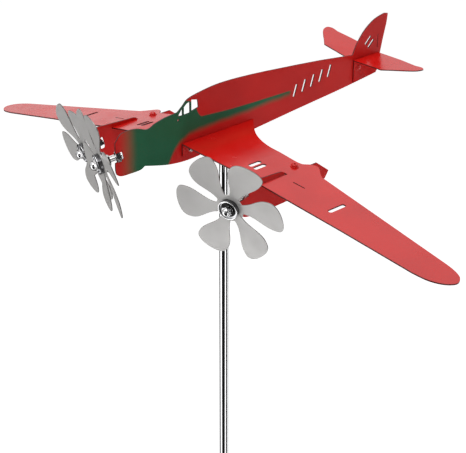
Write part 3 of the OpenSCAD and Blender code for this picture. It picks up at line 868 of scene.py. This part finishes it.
def nacelle_fasteners(looks):
    screws, washers, nuts = bmesh.new(), bmesh.new(), bmesh.new()
    for middle in clusters("nacelle_washers", 1):
        side = 1 if middle.y > 0 else -1
        place = axis_place(middle, (0, side * math.sin(OUTER_DROOP), math.cos(OUTER_DROOP)))
        low, high, bore, radius, _ = span("nacelle_washers", place)
        turned_ring(washers, low, high, bore, radius, place)
        seat = high
        low, high, _, _, _ = span("nacelle_screws", place)
        socket_screw(screws, low, seat, high, M4_R, NACELLE_HEAD_R, place)
        low, high, _, _, turn = span("nacelle_nuts", place)
        hexagon(nuts, low, high, M4_R, M4_ACROSS, turn, place)
    red = [looks["red"]]
    piece("nacelle_button_screws", screws, "airframe", ["nacelle_screws"], red)
    piece("nacelle_round_washers", washers, "airframe", ["nacelle_washers"], red)
    piece("nacelle_hex_nuts", nuts, "airframe", ["nacelle_nuts"], [looks["nut"]], smooth=25)


def rivets(looks):
    bm = bmesh.new()
    low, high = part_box("tailplane_rivets")
    half = (high.y - low.y) / 2
    neck = half - RIVET_HEAD_H
    for middle in clusters("tailplane_rivets", 0):
        place = axis_place(Vector((middle.x, 0, middle.z)), (0, 1, 0))
        arc = [(RIVET_HEAD_R * math.cos(t), math.sin(t)) for t in QUARTER]
        profile = [(0, -half)]
        profile += [(r, -half + RIVET_HEAD_H * (1 - s)) for r, s in reversed(arc)]
        profile += [(RIVET_R, -neck), (RIVET_R, neck)]
        profile += [(r, half - RIVET_HEAD_H * (1 - s)) for r, s in arc]
        profile.append((0, half))
        lathe(bm, profile, place, 32, open_ends=True)
    piece("domed_rivets", bm, "airframe", ["tailplane_rivets"], [looks["red"]])


# ---------------------------------------------------------------- floor and light


FLOOR_Z = cad_box[0].z - 1 * MM
FLOOR_SIZE = 60
FLOOR_GLOW = 0.95
WORLD_GLOW = 0.8
TOP_BOX_AT = (-0.6, -0.4, 3.6)
TOP_BOX_SIZE = (2.6, 2.6)
TOP_BOX_WATTS = 60


def add_floor():
    bpy.ops.mesh.primitive_plane_add(size=FLOOR_SIZE, location=(0, 0, FLOOR_Z))
    floor = bpy.context.object
    floor.name = "floor"
    s = Shader("floor_paper", Roughness=0.9, Specular_IOR_Level=0.1)
    tone = s.spread(s.noise(0.7, detail=3), 0.3, 0.7)
    s.put("Base Color", s.mix(tone, (0.86, 0.86, 0.86, 1), (0.84, 0.84, 0.845, 1)))
    s.bsdf.inputs["Emission Color"].default_value = (1, 1, 1, 1)
    s.bsdf.inputs["Emission Strength"].default_value = FLOOR_GLOW
    floor.data.materials.append(s.material)


def add_card(name, low, high, inner, outer, diffuse=True):
    """A dark card out of the camera's sight, from low to high degrees to the right of the camera.

    It runs from the circle inner to the circle outer, each a (radius, height) about the pole. Polished
    metal shows it, and with diffuse it also darkens what paint it faces."""
    count = max(2, round((high - low) / 4))
    corners = []
    for i in range(count + 1):
        turn = CAMERA_AZIMUTH + math.radians(low + (high - low) * i / count)
        way = Vector((math.sin(turn), -math.cos(turn), 0))
        corners += [way * radius + Vector((0, 0, height)) for radius, height in (inner, outer)]
    mesh = bpy.data.meshes.new(name)
    mesh.from_pydata(corners, [], [(2 * i, 2 * i + 1, 2 * i + 3, 2 * i + 2) for i in range(count)])
    s = Shader(name + "_black", Roughness=1.0, Specular_IOR_Level=0.0)
    s.put("Base Color", s.mix(s.noise(0.5), (0.004, 0.004, 0.004, 1), (0.01, 0.01, 0.01, 1)))
    mesh.materials.append(s.material)
    card = bpy.data.objects.new(name, mesh)
    bpy.context.scene.collection.objects.link(card)
    card.visible_camera = False
    card.visible_shadow = False
    card.visible_diffuse = diffuse


def add_area(name, location, target, size, power):
    data = bpy.data.lights.new(name, "AREA")
    data.shape = "RECTANGLE"
    data.size, data.size_y = size
    data.energy = power
    lamp = bpy.data.objects.new(name, data)
    lamp.location = location
    lamp.rotation_euler = (Vector(target) - Vector(location)).to_track_quat("-Z", "Y").to_euler()
    bpy.context.scene.collection.objects.link(lamp)


CARD_FOOT = (0.12, FLOOR_Z + 2 * MM)
CARD_NEAR = (0.7, FLOOR_Z + 2 * MM)
CARD_FAR = (6.0, FLOOR_Z + 2 * MM)
CARD_RIM = (29.0, FLOOR_Z + 2 * MM)
DARK_CARDS = (
    ("card_front", -55, 27, CARD_NEAR, CARD_FAR), ("card_right", 52, 80, CARD_NEAR, CARD_FAR),
    ("card_side", 82, 106, CARD_NEAR, CARD_FAR), ("card_back", 130, 262, CARD_NEAR, CARD_FAR),
    ("wall_front", -35, 60, (3.0, 1.25), (3.0, 5.5)), ("wall_right", 82, 140, (3.0, 1.9), (3.0, 6.5)),
)


def add_studio():
    world = bpy.data.worlds.new("studio")
    world.use_nodes = True
    world.node_tree.nodes["Background"].inputs["Color"].default_value = (1, 1, 1, 1)
    world.node_tree.nodes["Background"].inputs["Strength"].default_value = WORLD_GLOW
    bpy.context.scene.world = world
    bpy.context.scene.view_settings.view_transform = "Standard"
    add_area("top_box", TOP_BOX_AT, (0, 0, 1.0), TOP_BOX_SIZE, TOP_BOX_WATTS)
    for card in DARK_CARDS:
        add_card(*card)
        name, low, high, inner, _ = card
        if inner == CARD_NEAR:
            add_card(name + "_foot", low, high, CARD_FOOT, CARD_NEAR, diffuse=False)
            add_card(name + "_rim", low, high, CARD_FAR, CARD_RIM, diffuse=False)
    add_floor()


# ---------------------------------------------------------------- everything

flight_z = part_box("fuselage")[1].z - 64.5 * MM

looks = {
    "body": paint("body_paint", DULL, body_scheme, MATT),
    "body_rim": cut_edge("body_cut_edge", body_scheme),
    "wing": paint("wing_paint", WING_SHINE),
    "red": paint("red_paint", RED_SHINE),
    "panel": paint("panel_paint", DULL, matt=MATT),
    "red_rim": cut_edge("red_cut_edge"),
    "petal": metal(
        "propeller_satin", (0.55, 0.54, 0.53, 1), (0.49, 0.48, 0.47, 1), 0.42, 0.03, lines=(1, 14, 1),
        depth=0.012, bare=0.25),
    "petal_rim": metal("propeller_cut_edge", (0.3, 0.29, 0.28, 1), (0.2, 0.19, 0.185, 1), 0.5, 0.004),
    "tube": metal(
        "pole_chrome", (0.83, 0.83, 0.84, 1), (0.78, 0.78, 0.79, 1), 0.05, 0.02, (1, 1, 6), (1, 1, 60),
        depth=0.0015),
    "chrome": metal("hub_chrome", (0.84, 0.84, 0.85, 1), (0.76, 0.76, 0.77, 1), 0.1, 0.004, depth=0.003),
    # A dark copy of the hub chrome for the cup's outer wall: painted shade and reflection.
    "chrome_painted_shade": metal("hub_wall_painted_shade", (0.16, 0.16, 0.165, 1), (0.1, 0.1, 0.105, 1), 0.12, 0.004, depth=0.003),
    "turned": metal(
        "turned_steel", (0.62, 0.62, 0.63, 1), (0.52, 0.52, 0.53, 1), 0.26, 0.01, lines=(30, 30, 1)),
    "zinc": metal("zinc_plate", (0.72, 0.72, 0.72, 1), (0.58, 0.58, 0.57, 1), 0.2, 0.003, spots=0.25),
    "nut": metal("nut_plate", (0.78, 0.78, 0.78, 1), (0.64, 0.64, 0.64, 1), 0.14, 0.003, spots=0.2),
    "ground": metal(
        "ground_steel", (0.68, 0.68, 0.69, 1), (0.58, 0.58, 0.6, 1), 0.16, 0.004, lines=(20, 20, 1)),
    "ball": metal("ball_steel", (0.84, 0.84, 0.85, 1), (0.8, 0.8, 0.81, 1), 0.06, 0.002),
    "brass": metal("washer_brass", (0.68, 0.52, 0.24, 1), (0.56, 0.42, 0.18, 1), 0.25, 0.003, spots=0.2),
    "weld": metal("weld_bead", (0.34, 0.33, 0.32, 1), (0.16, 0.15, 0.15, 1), 0.45, 0.002, spots=0.5),
    "seal": shield("bearing_seal"),
}

add_camera()
add_studio()

places = {name: engine_place(name) for name in ENGINES}
for name in ENGINES:
    propeller(name, places[name], looks)
    hub(name, places[name], looks)
engine_stack(places, looks)
pole(looks)
swivel(looks)
root_fasteners(looks)
nacelle_fasteners(looks)
rivets(looks)
sheet_piece("fuselage", SHEET_T, looks["body"], looks["body_rim"])
for node in ("port_wing", "starboard_wing"):
    sheet_piece(node, SHEET_T, looks["wing"], looks["red_rim"])
for node in ("port_nacelle", "starboard_nacelle"):
    sheet_piece(node, SHEET_T, looks["panel"], looks["red_rim"])
for node in ("port_tailplane", "starboard_tailplane"):
    sheet_piece(node, TAIL_T, looks["red"], looks["red_rim"])
